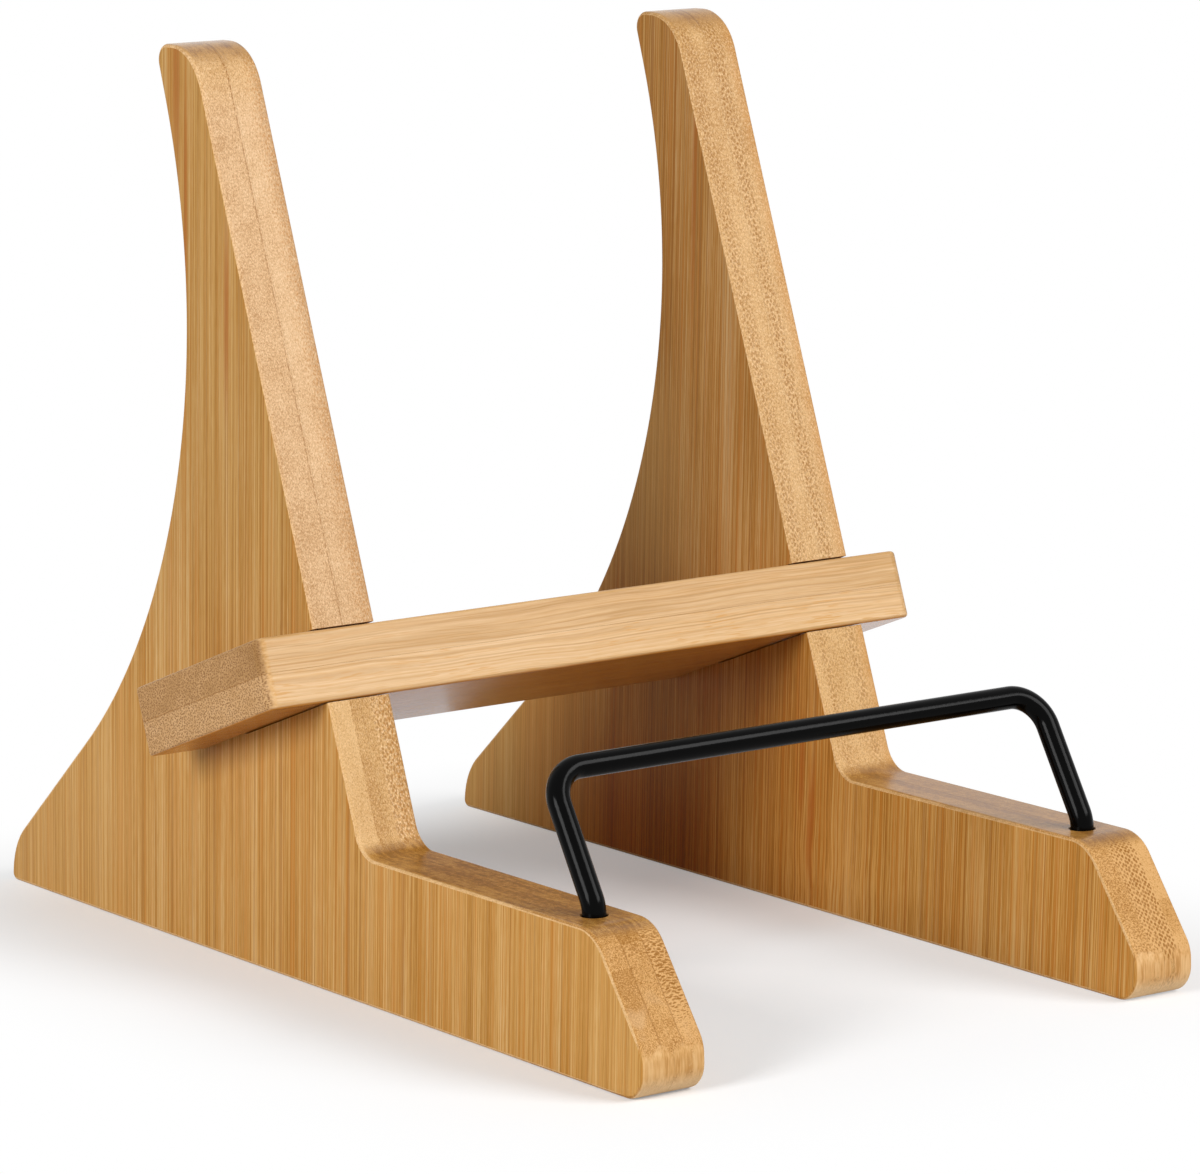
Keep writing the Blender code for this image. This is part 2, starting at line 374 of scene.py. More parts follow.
def make_wire_stop(finish):
    """The bent wire: plug, leg, bar, leg and plug, its lower bends starting at the feet."""
    slack = STOP_SET_BACK - 2 * LEG_BEND
    half_turn = STOP_SET_BACK / (STOP_RISE + math.sqrt(STOP_RISE**2 + STOP_SET_BACK * slack))
    knee = LEG_BEND * half_turn
    leg = Vector((0, STOP_SET_BACK, STOP_RISE - knee))
    leg_run = leg.length - knee - CORNER_BEND
    rod = Rod((-PANEL_MIDDLE, LIP + HOLE_SET, FOOT_TOP - PLUG_DEPTH), (0, 0, 1))
    rod.run(PLUG_DEPTH)
    rod.bend(leg, LEG_BEND)
    rod.run(leg_run)
    rod.bend(ACROSS, CORNER_BEND)
    rod.run(2 * (PANEL_MIDDLE - CORNER_BEND))
    rod.bend(-leg, CORNER_BEND)
    rod.run(leg_run)
    rod.bend((0, 0, -1), LEG_BEND)
    rod.run(PLUG_DEPTH)
    piece = new_object("wire_stop_fine", rod.finish())
    shade(piece)
    put(piece, "wire_stop", "wire_black", finish, "wire_stop")


# How deep the relief of a finish is
BUMP_DEPTH = 0.0002


class Reading:
    """A value that varies over a surface. Sums and products of readings add their Math nodes."""

    def __init__(self, finish, socket):
        self.finish = finish
        self.socket = socket

    def __add__(self, other):
        return self.finish.maths("ADD", self, other)

    def __radd__(self, other):
        return self.finish.maths("ADD", other, self)

    def __sub__(self, other):
        return self.finish.maths("SUBTRACT", self, other)

    def __rsub__(self, other):
        return self.finish.maths("SUBTRACT", other, self)

    def __mul__(self, other):
        return self.finish.maths("MULTIPLY", self, other)

    def __rmul__(self, other):
        return self.finish.maths("MULTIPLY", other, self)

    def __truediv__(self, other):
        return self.finish.maths("DIVIDE", self, other)

    def __pow__(self, other):
        return self.finish.maths("POWER", self, other)

    def __abs__(self):
        return self.finish.maths("ABSOLUTE", self)


class Finish:
    """A material built from nodes, with one Principled shader."""

    def __init__(self, name):
        self.material = bpy.data.materials.new(name)
        self.material.use_nodes = True
        self.tree = self.material.node_tree
        self.shader = self.tree.nodes["Principled BSDF"]

    def node(self, kind, settings=None, sockets=None):
        """Adds a node: its settings first, then the values or links of its sockets."""
        node = self.tree.nodes.new(f"ShaderNode{kind}")
        for key, value in (settings or {}).items():
            if key == "stops":
                self.set_stops(node.color_ramp.elements, value)
            else:
                setattr(node, key, value)
        for key, value in (sockets or {}).items():
            if isinstance(value, Reading):
                self.tree.links.new(value.socket, node.inputs[key])
            else:
                node.inputs[key].default_value = value
        return node

    def set_stops(self, elements, stops):
        while len(elements) < len(stops):
            elements.new(1)
        for element, (place, colour) in zip(elements, stops):
            element.position = place
            element.color = (*colour, 1)

    def read(self, node, output=0):
        return Reading(self, node.outputs[output])

    def maths(self, operation, *values):
        sockets = dict(enumerate(values))
        return self.read(self.node("Math", {"operation": operation}, sockets))

    def place(self):
        return self.read(self.node("TexCoord"), "Object")

    def along(self, vector, direction, unit=MM):
        """How far a vector reaches along a direction, in millimetres for a place in metres."""
        settings = {"operation": "DOT_PRODUCT"}
        sockets = {0: vector, 1: Vector(direction) * unit}
        return self.read(self.node("VectorMath", settings, sockets), "Value")

    def triple(self, x, y, z=0.0):
        return self.read(self.node("CombineXYZ", None, {0: x, 1: y, 2: z}))

    def noise(self, vector, detail=0.0, roughness=0.5):
        """Soft noise about a half, a cell of it one unit wide."""
        sockets = {"Vector": vector, "Scale": 1.0, "Detail": detail, "Roughness": roughness}
        return self.read(self.node("TexNoise", None, sockets))

    def ease(self, value, low, high, start=0.0, end=1.0):
        """Eases from start to end as a value goes from low to high."""
        settings = {"interpolation_type": "SMOOTHSTEP"}
        sockets = {0: value, 1: low, 2: high, 3: start, 4: end}
        return self.read(self.node("MapRange", settings, sockets))

    def line(self, place, at, half_width):
        """1 on a line at a place, fading to 0 at its half width."""
        return self.ease(abs(place - at), half_width, half_width * 0.3)

    def ramp(self, value, stops):
        return self.read(self.node("ValToRGB", {"stops": stops}, {0: value}))

    def level(self, place, stops):
        """A value that follows a place from 0 to 1 through stops of place and value."""
        return self.ramp(place, [(at, (value, value, value)) for at, value in stops])

    def mix(self, factor, tint_a, tint_b, way="MIX"):
        """Mixes two colours, each a reading or three numbers. The node's colours are at 6 and 7."""
        tints = [t if isinstance(t, Reading) else (*t, 1) for t in (tint_a, tint_b)]
        settings = {"data_type": "RGBA", "blend_type": way}
        sockets = {0: factor, 6: tints[0], 7: tints[1]}
        return self.read(self.node("Mix", settings, sockets), 2)

    def set(self, **inputs):
        """Sets the shader's sockets, named in lower case with _ for a space."""
        for key, value in inputs.items():
            socket = self.shader.inputs[key.replace("_", " ").title().replace("Ior", "IOR")]
            if isinstance(value, Reading):
                self.tree.links.new(value.socket, socket)
            else:
                socket.default_value = value

    def bump(self, height, strength):
        sockets = {"Strength": strength, "Distance": BUMP_DEPTH, "Height": height}
        self.set(normal=self.read(self.node("Bump", None, sockets)))


# How wide a strip of bamboo is on a face and on a cut end, in millimetres
STRIP = 5.6
END_STRIP = 6.4


class Board(Finish):
    """Bamboo glued up from strips. Places in it are in millimetres: s along its fibres, v across
    the strips side by side, u through the board."""

    def __init__(self, name, grain, width, depth, seed):
        super().__init__(name)
        self.seed = seed
        self.spot = self.place()
        self.s, self.v, self.u = (self.along(self.spot, way) for way in (grain, width, depth))
        self.facing = self.read(self.node("NewGeometry"), "Normal")
        self.cut_across = abs(self.along(self.facing, grain, 1))

    def streaks(self, width, length, detail, shift):
        """Streaks that run with the fibres, about as wide and as long as given."""
        up = self.s / length + self.seed + shift
        return self.noise(self.triple(self.u / width + shift, self.v / width, up), detail, 0.6)

    def patches(self, size_u, size_v, size_s, shift, detail):
        """Soft patches about as large as given: through the board, across it and along it."""
        spot = self.triple(self.u / size_u, self.v / size_v, self.s / size_s + shift)
        return self.noise(spot, detail)

    def specks(self, size, detail):
        """Pores: specks twice as long with the fibres as across them."""
        spot = self.triple(self.u / size, self.v / size, self.s / (2 * size) + self.seed)
        return self.noise(spot, detail, 0.6)

    def dots(self, pitch_u, pitch_v, across, size, soft):
        """Cut bundles of fibres: a dark dot in each cell, sized by a value from 0 to 1."""
        spot = self.triple(self.u / pitch_u, across / pitch_v)
        sockets = {"Vector": spot, "Scale": 1.0, "Randomness": 0.7}
        cell = self.node("TexVoronoi", {"voronoi_dimensions": "2D"}, sockets)
        distance = self.read(cell, "Distance")
        lot = self.read(self.node("SeparateColor", None, {0: self.read(cell, "Color")}))
        size = 0.05 + 0.42 * size
        return self.ease(distance, size + soft / 2, size - soft / 2) * (0.55 + 0.45 * lot)

    def bundles(self, across, pitch_u, pitch_v, size, tall, stray, soft):
        """Cut bundles of fibres in rows, each row half a step on from the last."""
        found = []
        for shift in (0.0, 0.5):
            column, row = self.u / pitch_u + shift, across / pitch_v + shift
            nudge_u, nudge_v, lot = self.lots(column, row, 9.0 * shift)
            off_u = self.maths("FRACT", column) - 0.5 + stray * (nudge_u - 0.5)
            off_v = (self.maths("FRACT", row) - 0.5 + stray * (nudge_v - 0.5)) / tall
            off = (off_u * off_u + off_v * off_v) ** 0.5
            reach = 0.04 + 0.36 * size
            dot = self.ease(off, reach + soft / 2, reach - soft / 2)
            found.append(dot * (0.6 + 0.4 * lot))
        return self.maths("MAXIMUM", *found)

    def lots(self, *places):
        """Three chance values for each whole step of the places."""
        steps = self.triple(*[self.maths("FLOOR", place) for place in places])
        node = self.node("TexWhiteNoise", {"noise_dimensions": "3D"}, {"Vector": steps})
        parts = self.node("SeparateColor", None, {0: self.read(node, "Color")})
        return [self.read(parts, i) for i in range(3)]


# Streaks along the fibres: width, length, detail, shift, the noise where they start and where they
# are full, their strength, and their tone
STREAKS = [
    (2.6, 300, 1.0, 9.1, 0.58, 0.70, 0.50, "flush"),
    (0.62, 400, 1.0, 17.9, 0.53, 0.60, 0.42, "flush"),
    (0.55, 300, 1.0, 21.3, 0.55, 0.62, 0.42, "pale"),
    (0.7, 220, 0.0, 12.4, 0.64, 0.70, 0.30, "dark"),
]


def long_grain(board, tones, strip_lot, strength, broad):
    """The colour and the relief of a surface that the fibres run along."""
    hair = board.streaks(0.5, 90, 2.0, 0.0)
    lines = board.streaks(1.2, 140, 1.0, 3.1)
    wide = board.streaks(3.8, 260, 0.0, 7.7)
    dashes = board.streaks(0.4, 6, 1.0, 5.3)
    cloud = board.patches(20, 25, 60, board.seed, 2.0)
    swing = 1.5 * (hair - 0.5) + broad * (lines + wide - 1.0)
    swing = swing + 0.08 * (strip_lot - 0.5) + 0.3 * (cloud - 0.5) + 0.4 * (dashes - 0.5)
    colour = board.ramp(0.5 + strength * swing, tones["face"])
    for width, length, detail, shift, start, full, share, tone in STREAKS:
        streak = board.ease(board.streaks(width, length, detail, shift), start, full)
        colour = board.mix(streak * share * strength, colour, tones[tone])
    return colour, hair


class PanelBoard(Board):
    """The side panels' bamboo, and where a place lies on a panel: how far behind the lip and how
    high in millimetres, and how far across the board from its left face, from 0 to 1."""

    def __init__(self):
        super().__init__("side_bamboo_grain", PANEL_GRAIN, PANEL_WIDTH, ACROSS, 3.7)
        self.side = self.maths("SIGN", self.u)
        self.right = 0.5 + 0.5 * self.side
        self.left = 0.5 - 0.5 * self.side
        self.from_left = (self.u - MM * PANEL_MIDDLE * self.side) / (MM * BOARD) + 0.5
        self.behind = self.along(self.spot, (0, 1, 0)) - MM * LIP
        self.height = self.along(self.spot, (0, 0, 1))
        self.slope = self.along(self.spot, BRACE_UP)
        self.narrow = self.ease(abs(self.along(self.facing, ACROSS, 1)), 0.8, 0.4)
        self.toe = self.ease(self.height, 16, 10) * self.ease(self.behind, 12, 6)
        self.foot = self.ease(self.height, 62, 46) * self.ease(self.behind, 60, 40)
        self.above_brace = self.ease(self.height, 78, 90)
        self.crown = self.ease(self.height, 212, 227)

        self.pores = self.specks(0.24, 2.0)
        self.grit = self.specks(0.42, 1.0)
        self.worms = self.ease(abs(self.specks(0.5, 0.0) - 0.5), 0.07, 0.01)
        self.blotch = self.patches(5, 7, 9, self.seed, 2.0)

        # The strips waver in one figured place on the right panel
        self.figured = self.line(self.behind, 122, 34) * self.line(self.height, 6, 30) * self.right
        sway = self.noise(self.triple(self.v / 9, self.s / 26, 4.4), 1.0) - 0.5
        self.v = self.v + 2.6 * self.figured * sway
        self.thirds = self.from_left * 3
        row = self.v / END_STRIP + 0.37 * self.maths("FLOOR", self.thirds)
        self.brick_tone, self.brick_dots, _ = self.lots(self.thirds, row, self.side)


# Reddish flames on the panels' faces: which panel, place across the strips, place along the fibres,
# half width and half length
FLAMES = [
    ("left", 61.1, 222, 2.4, 36),
    ("left", 36.3, 164, 1.8, 34),
    ("left", 56.5, 190, 1.3, 44),
    ("right", -11.5, 38, 1.5, 18),
    ("right", -16.0, 24, 1.9, 22),
    ("right", 42.0, 190, 1.3, 60),
]


def panel_faces(board, tones):
    """The colour of the panels' faces, and the relief of their fibres."""
    strip_lot = board.lots(board.v / STRIP, 7.0 * board.side, 0.0)[0]
    colour, hair = long_grain(board, tones, strip_lot, 1.15 + 0.2 * board.right, 0.5)
    fleck = board.ease(board.streaks(0.8, 9, 1.0, 14.6), 0.52, 0.62) * board.figured
    colour = board.mix(fleck * 0.35, colour, tones["pale"])
    broken = board.ease(hair, 0.25, 0.6, 0.15, 0.85)
    for side, across, up, half_width, half_length in FLAMES:
        which = board.left if side == "left" else board.right
        flame = board.line(board.v, across, half_width)
        flame = flame * board.ease(abs(board.s - up), half_length, 4)
        colour = board.mix(which * flame * broken, colour, tones["flame"])
    return colour, hair


# How pale the lip of the right foot is, from its left side to its right
LIP_BANDS = [
    (0.0, 0.62),
    (0.28, 0.6),
    (0.36, 0.4),
    (0.68, 0.38),
    (0.76, 0.26),
    (0.84, 0.6),
    (1.0, 0.52),
]


def narrow_edges(board, tones):
    """The colour of the narrow edges that the fibres run along, and its waves."""
    waves = board.patches(0.45, 0.45, 16, 7.7, 2.0)
    curls = board.patches(1.7, 1.7, 18, 3.1, 1.0)
    tone = 0.5 + 1.15 * (waves - 0.5) + 0.7 * (board.blotch - 0.5)
    tone = tone + 0.12 * board.ease(board.from_left, 0.36, 0.3) + 0.5 * (curls - 0.5)
    bands = board.level(board.from_left, LIP_BANDS) - 0.48
    tone = tone + 0.8 * board.right * board.toe * bands
    return board.ramp(tone, tones["lip"]), waves


def tint_by_place(board, colour, tones):
    """Tints the panels' long grain by where it lies: the right panel's own darker tone, and painted
    light and shade.
    """
    right, behind, height = board.right, board.behind, board.height
    face = 1.0 - board.narrow
    darker = board.mix(1.0, colour, tones["right"], "MULTIPLY")
    colour = board.mix(right * face, colour, darker)
    # Painted shade: the faces grow darker and greyer toward the top, the right panel's faces more
    risen = board.ease(height, 35, 130)
    high_left, high_right = (board.ramp(risen, tones[key]) for key in ("high", "high_right"))
    colour = board.mix(face, colour, board.mix(right, high_left, high_right), "MULTIPLY")

    # Painted light: the faces are paler low at the heels and along the left panel's front
    heel = board.ease(behind, 205, 265) * board.ease(height, 90, 40)
    front = board.ease(behind, 34, 12) * board.left
    painted_pale_light = 0.22 * heel + 0.18 * front + 0.15 * heel * right
    colour = board.mix(painted_pale_light, colour, tones["pale"])

    # Painted shadow on the right panel's inner face, where the left panel and the brace shade it:
    # darker, darker still near the floor, and warmer toward the rear
    inner = right * board.ease(board.from_left, 0.5, 0.3)
    shaded = inner * board.line(behind, 168, 75) * board.ease(height, 110, 60)
    painted_deep_shadow = inner * board.line(behind, 208, 48) * board.ease(height, 44, 10)
    painted_warm_shade = inner * board.ease(behind, 195, 220) * board.ease(behind, 278, 258)
    painted_warm_shade = painted_warm_shade * board.ease(height, 110, 70)
    for where, key in ((shaded, "shaded"), (painted_deep_shadow, "painted_deep_shadow"), (painted_warm_shade, "painted_warm_shade")):
        colour = board.mix(where, colour, tones[key], "MULTIPLY")
    # Painted light: the right panel's inner face turns paler again near its rear edge
    painted_rear_light = inner * board.ease(behind, 175, 205) * board.line(height, 105, 45)
    return board.mix(painted_rear_light * 0.35, colour, tones["pale"])


# How thick the dots lie along the uprights' edges, from left to right, above the brace and below
# it, and how pale the left upright is below the brace
HIGH_DOTS = {
    "left": [
        (0.0, 0.55),
        (0.3, 0.35),
        (0.42, 0.5),
        (0.5, 0.25),
        (0.75, 0.15),
        (0.9, 0.45),
        (1.0, 0.5),
    ],
    "right": [
        (0.0, 0.2),
        (0.1, 0.8),
        (0.24, 0.6),
        (0.32, 0.1),
        (0.5, 0.2),
        (0.58, 0.9),
        (0.7, 0.8),
        (0.78, 0.2),
    ],
}
LOW_DOTS = {
    "left": [(0.0, 0.1), (0.32, 0.1), (0.34, 0.6), (0.63, 0.55), (0.66, 1.0), (1.0, 0.9)],
    "right": [(0.0, 0.45), (0.2, 0.8), (0.5, 0.6), (0.75, 0.8), (1.0, 0.5)],
}
LOW_TONE = [
    (0.0, 0.60),
    (0.32, 0.58),
    (0.33, 0.36),
    (0.4, 0.42),
    (0.63, 0.44),
    (0.66, 0.60),
    (1.0, 0.56),
]


def upright_edges(board, tones):
    """The colour of the uprights' edges, cut at a slant: pores, dots and a glue line."""
    left, right, from_left, above = board.left, board.right, board.from_left, board.above_brace
    blotch, grit, slope = board.blotch - 0.5, board.grit, board.slope
    thick_on = []
    for dots in (LOW_DOTS, HIGH_DOTS):
        on_left, on_right = (board.level(from_left, dots[word]) for word in ("left", "right"))
        thick_on.append(board.mix(right, on_left, on_right))
    thick = board.mix(above, *thick_on)

    rough = 1.1 * (board.pores - 0.5) + 0.4 * (grit - 0.5) + 0.4 * blotch
    rough = rough - 0.1 * (board.worms - 0.4)
    first_half = board.ease(from_left, 0.5, 0.44)
    lower = board.ease(board.height, 160, 105) * left
    peach_tone = 0.52 + rough - 0.10 * first_half * (1.0 - 0.7 * lower) - 0.09 * lower
    peach = board.ramp(peach_tone, tones["peach"])
    plain = above * left + right
    golden_tone = board.mix(plain, board.level(from_left, LOW_TONE), (0.52, 0.52, 0.52))
    golden_tone = golden_tone + rough - 0.13 * right * board.ease(board.height, 175, 212)
    golden = board.ramp(golden_tone, tones["golden"])
    peachy = above * (1.0 - 0.75 * right) * (1.0 - 0.6 * board.crown)
    colour = board.mix(peachy, golden, peach)

    fine_dots = board.dots(0.5, 0.95, slope, 0.4 + 0.5 * blotch, 0.3)
    colour = board.mix(fine_dots * (0.2 + 0.3 * thick), colour, tones["dot"])
    last_third = board.ease(from_left, 0.63, 0.68) * left * (1.0 - above)
    coarse = board.mix(above, board.ease(thick, 0.6, 0.9), right * thick)
    coarse = coarse * (0.45 + 0.4 * right + 0.25 * last_third)
    loose_dots = board.bundles(slope, 1.25, 1.7, 0.62 + 0.6 * blotch, 1.0, 0.5, 0.12)
    colour = board.mix(loose_dots * coarse, colour, tones["bundle"])
    rim = board.ease(from_left, 0.74, 0.96) * (1.0 - 0.35 * lower)
    rim = rim * (0.12 + 1.2 * (grit - 0.35))
    colour = board.mix(rim, colour, board.mix(left, tones["flush"], tones["dark"]))
    hatched = board.ease(from_left + 0.25 * blotch, 0.56, 0.9) * 0.6 * left
    dashes = board.bundles(slope, 0.85, 1.5, 0.5, 1.0, 0.8, 0.2)
    colour = board.mix(dashes * hatched, colour, tones["flush"])
    glints = board.bundles(slope + 0.7, 0.95, 1.9, 0.35, 0.8, 0.9, 0.2)
    colour = board.mix(glints * (0.2 + 0.2 * above + 0.4 * last_third), colour, tones["bright"])
    glue = board.line(from_left + 0.02 * blotch, 0.47, 0.018) * above * left
    glue = glue * board.ease(grit, 0.42, 0.52) * (0.6 + 0.3 * board.crown)
    return board.mix(glue, colour, tones["dark"])


# How large the dots on the noses are. On the left nose they follow the way behind the lip, in each
# third of its width, and on the right nose they follow its width
NOSE_LENGTH = 20
LEFT_FIRST = [(0.0, 0.15), (0.3, 0.25), (0.6, 0.35), (0.7, 0.5), (1.0, 0.5)]
LEFT_OTHERS = [(0.0, 0.2), (0.35, 0.3), (0.68, 0.45), (0.72, 0.75), (1.0, 0.6)]
LEFT_LARGE = [(0.05, 0.15), (0.25, 0.4), (0.36, 0.8), (0.7, 0.8), (1.0, 0.5)]
RIGHT_SMALL = [(0.0, 0.5), (0.3, 0.65), (0.4, 0.2), (0.8, 0.0)]
RIGHT_LARGE = [(0.28, 0.0), (0.36, 0.45), (0.6, 0.6), (0.74, 0.5), (0.78, 0.0)]


def noses(board, tones):
    """The colour of the feet's slanting noses, and how far their large dots cover them."""
    left, right, from_left, behind = board.left, board.right, board.from_left, board.behind
    first, others, large = (
        board.level(behind / NOSE_LENGTH, sizes) for sizes in (LEFT_FIRST, LEFT_OTHERS, LEFT_LARGE)
    )
    left_small = board.mix(board.ease(from_left, 0.32, 0.345), first, others)
    left_large = board.ease(from_left, 0.65, 0.69) * large
    right_large = board.level(from_left, RIGHT_LARGE)
    right_large = right_large * board.ease(behind + 10 * from_left, 3.0, 7.0)
    small_size = board.mix(right, left_small, board.level(from_left, RIGHT_SMALL))
    large_size = board.mix(right, left_large, right_large)
    ripple = board.noise(board.triple(board.u / 2.2, board.v / 4, 5.5)) - 0.5
    rippled = board.v + 0.7 * ripple
    ripples = board.bundles(rippled, 1.9, 0.72, left_large * 1.1, 0.55, 0.5, 0.16)
    honeycomb = board.bundles(board.v, 1.4, 0.9, right_large, 1.3, 0.28, 0.16)
    large_dots = board.mix(right, ripples, honeycomb) * board.ease(large_size, 0.05, 0.3)
    small_dots = board.bundles(rippled, 1.15, 0.66, small_size, 0.8, 0.8, 0.2)
    small_dots = small_dots * (0.5 + 0.5 * small_size)

    plain = right * board.ease(from_left, 0.74, 0.8)
    tone = 0.5 + (2.2 - 1.3 * plain) * (board.pores - 0.5) + 0.34 * (board.brick_tone - 0.5)
    tone = tone + 0.4 * (board.blotch - 0.5) + 0.06 * right - 0.14 * left
    tone = tone - 0.4 * (board.worms - 0.4) + 0.6 * large_size * (1.0 - large_dots)
    tone = tone + 0.16 * board.ease(behind, 8, 1.5)
    colour = board.ramp(tone, tones["nose"])
    colour = board.mix(small_dots * 0.9, colour, tones["bundle"])
    colour = board.mix(large_dots * 0.95, colour, tones["bundle"])
    sanded = board.ease(board.patches(7, 6, 8, 2.6, 1.0), 0.5, 0.64)
    sanded = sanded * left * board.ease(behind, 11, 5)
    colour = board.mix(sanded * 0.45, colour, tones["sanded"])
    seams = board.line(board.maths("FRACT", board.thirds + 0.5), 0.5, 0.05)
    return board.mix(seams * 0.5 * left, colour, tones["dark"]), large_dots


# How pale the end grain is, from a panel's left side to its right
END_BANDS = [
    (0.0, 0.64),
    (0.3, 0.58),
    (0.36, 0.30),
    (0.46, 0.36),
    (0.6, 0.55),
    (0.68, 0.46),
    (1.0, 0.54),
]


def end_grain(board, tones):
    """The colour of the crowns and of the feet's level tops, cut straight across the fibres."""
    right, blotch = board.right, board.blotch - 0.5
    drawn = board.noise(board.triple(board.u / 1.1, board.v / 22, 6.1 + board.side), 3.0)
    mottle = board.noise(board.triple(board.u / 1.1, board.v / 1.8, 3.3), 2.0)
    tone = board.level(board.from_left, END_BANDS) + (1.4 - 0.6 * right) * (mottle - 0.5)
    tone = tone + 0.5 * blotch + 0.8 * (board.pores - 0.5) + (1.4 - 0.7 * right) * (drawn - 0.5)
    colour = board.ramp(tone + 0.2 * board.ease(board.height, 200, 222), tones["end"])
    dots = board.dots(0.6, 0.6, board.v, 0.3 + 0.5 * board.brick_dots, 0.16)
    seam = board.line(board.from_left + 0.02 * blotch, 0.5, 0.02)
    for mark in (dots, seam):
        colour = board.mix(mark * 0.5, colour, tones["pore"])
    return colour


def side_bamboo():
    """The side panels: lines down their faces, and pores, dots and glue lines on their edges."""
    board, tones = PanelBoard(), SIDE_TONES
    toe, foot, grit, cut_across = board.toe, board.foot, board.grit, board.cut_across

    # Where the surface cuts the fibres at a slant, on the noses too, and where straight across
    tongues = board.patches(2.4, 2.6, 9, 8.8, 1.0)
    dotted = board.right * board.line(board.from_left, 0.54, 0.3)
    turned = cut_across + toe * (0.3 * (grit - 0.5) + 1.3 * (tongues - 0.5) + 0.16 * dotted)
    slanting = board.ease(turned, 0.10 + 0.10 * toe, 0.28 + 0.34 * toe)
    nose = board.ease(cut_across, 0.46 - 0.4 * toe, 0.58 - 0.4 * toe) * foot
    facing_up = board.along(board.facing, PANEL_GRAIN, 1)
    square = board.ease(facing_up, 0.66 + 0.14 * foot, 0.98)
    # Painted highlight: a pale line along the rounded arris between a face and a slanting edge
    arris_highlight = board.line(cut_across, 0.22, 0.08) * (1.0 - toe) * (1.0 - 0.5 * foot)

    faces, hair = panel_faces(board, tones)
    narrow, waves = narrow_edges(board, tones)
    along = tint_by_place(board, board.mix(board.narrow, faces, narrow), tones)
    nose_colour, large_dots = noses(board, tones)
    edge = board.mix(nose, upright_edges(board, tones), nose_colour)
    edge = board.mix(square, edge, end_grain(board, tones))
    colour = board.mix(slanting, along, edge)
    # Painted light: the lip's turned-under rim near the floor is paler, as if lit by light thrown
    # up from the floor
    under_lip = board.narrow * board.ease(board.height, 6.5, 1.0) * board.ease(board.behind, 9, 3)
    colour = board.mix(under_lip * (0.75 + 0.5 * (waves - 0.2)), colour, tones["lit"])
    colour = board.mix(arris_highlight * board.ease(grit, 0.4, 0.56, 0.1, 0.75), colour, tones["arris_highlight_tone"])

    board.bump(0.5 * hair + slanting * (0.5 * board.pores - 0.5 * large_dots * nose), 0.25)
    coat = (0.75 + 0.2 * board.crown - 0.15 * board.right) * square
    board.set(base_color=colour, roughness=0.34 + 0.14 * (hair - 0.5) + 0.16 * slanting)
    board.set(coat_weight=coat, coat_roughness=0.26, specular_ior_level=0.07)
    return board.material


def brace_bamboo():
    """The brace: fine lines along it, its upper ply darker than its lower, painted shade on its
    underside, and dots on its ends.
    """
    board = Board("brace_bamboo_grain", ACROSS, REARWARD, BRACE_UP, 11.3)
    tones = BRACE_TONES
    middle = MM * (BRACE_TOP_FRONT - BRACE_UP * BOARD / 2).dot(BRACE_UP)
    height = (board.u - middle) / (MM * BOARD) + 0.5
    wander = 0.06 * (board.patches(6, 6, 30, 4, 1.0) - 0.5)
    upper = board.ease(height + wander, 0.47, 0.53)
    square = board.ease(board.cut_across, 0.35, 0.8)
    strip_lot = board.lots(board.v / STRIP, 3.0 * board.ease(height, 0.499, 0.501), 0.0)[0]

    # The lines along the brace waver up and down a little
    straight = board.u
    board.u = straight + 2.4 * (board.patches(7, 12, 38, 1.9, 1.0) - 0.5)
    along, hair = long_grain(board, tones, strip_lot, 0.6, 0.35)
    figure = board.ease(board.streaks(1.7, 48, 3.0, 2.2), 0.47, 0.62)
    thread = board.ease(board.streaks(0.34, 24, 2.0, 8.3), 0.54, 0.68)
    browned = 0.34 * figure + 0.5 * thread * (0.35 + 0.65 * figure)
    along = board.mix(browned * (0.3 + 0.7 * upper), along, tones["figure"])
    patchy = board.ease(board.patches(9, 9, 26, 8.8, 1.0), 0.42, 0.6)
    ticks = board.ease(board.streaks(0.36, 6.5, 1.0, 6.6), 0.56, 0.68) * (1.0 - 0.6 * upper)
    along = board.mix(ticks * (0.25 + 0.55 * patchy), along, tones["flush"])
    board.u = straight
    along = board.mix(1.0, along, board.mix(upper, tones["lower"], tones["upper"]), "MULTIPLY")
    # Painted shade: the brace's underside is darker and warmer than its other faces along the
    # fibres
    flat = board.ease(board.along(board.facing, BRACE_UP, -1), 0.55, 0.9)
    along = board.mix(flat, along, board.mix(1.0, along, tones["flat"], "MULTIPLY"))

    pores = board.specks(0.3, 2.0)
    blotch = board.patches(4, 6, 9, board.seed, 2.0) - 0.5
    corner = board.ease(board.v, -20, -45) * upper
    bundles = board.bundles(board.v, 0.8, 1.1, 0.55 + 0.5 * blotch, 1.0, 0.7, 0.2)
    end_tone = 0.49 + 0.75 * (pores - 0.5) + 0.35 * blotch - 0.13 * (upper - 0.5) - 0.15 * corner
    end = board.ramp(end_tone, tones["end"])
    end = board.mix(bundles * 0.85, end, tones["dot"])
    end = board.mix(board.line(height, 0.5, 0.014) * 0.4, end, tones["dark"])
    board.bump(0.5 * hair + square * (0.4 * pores - 0.5 * bundles), 0.25)
    roughness = 0.24 + 0.1 * (hair - 0.5) + 0.26 * square - 0.1 * flat
    board.set(base_color=board.mix(square, along, end), roughness=roughness)
    board.set(specular_ior_level=0.08)
    return board.material


def black_coating():
    """The stop's glossy black coating, a little uneven."""
    finish = Finish("wire_coating")
    sockets = {0: finish.place(), "Scale": 900}
    fine_place = finish.read(finish.node("VectorMath", {"operation": "SCALE"}, sockets))
    ripple = finish.noise(fine_place, 2.0)
    finish.bump(ripple, 0.08)
    finish.set(base_color=(0.001, 0.001, 0.001, 1), roughness=0.12 + 0.06 * ripple)
    finish.set(specular_ior_level=0.05)
    return finish.material


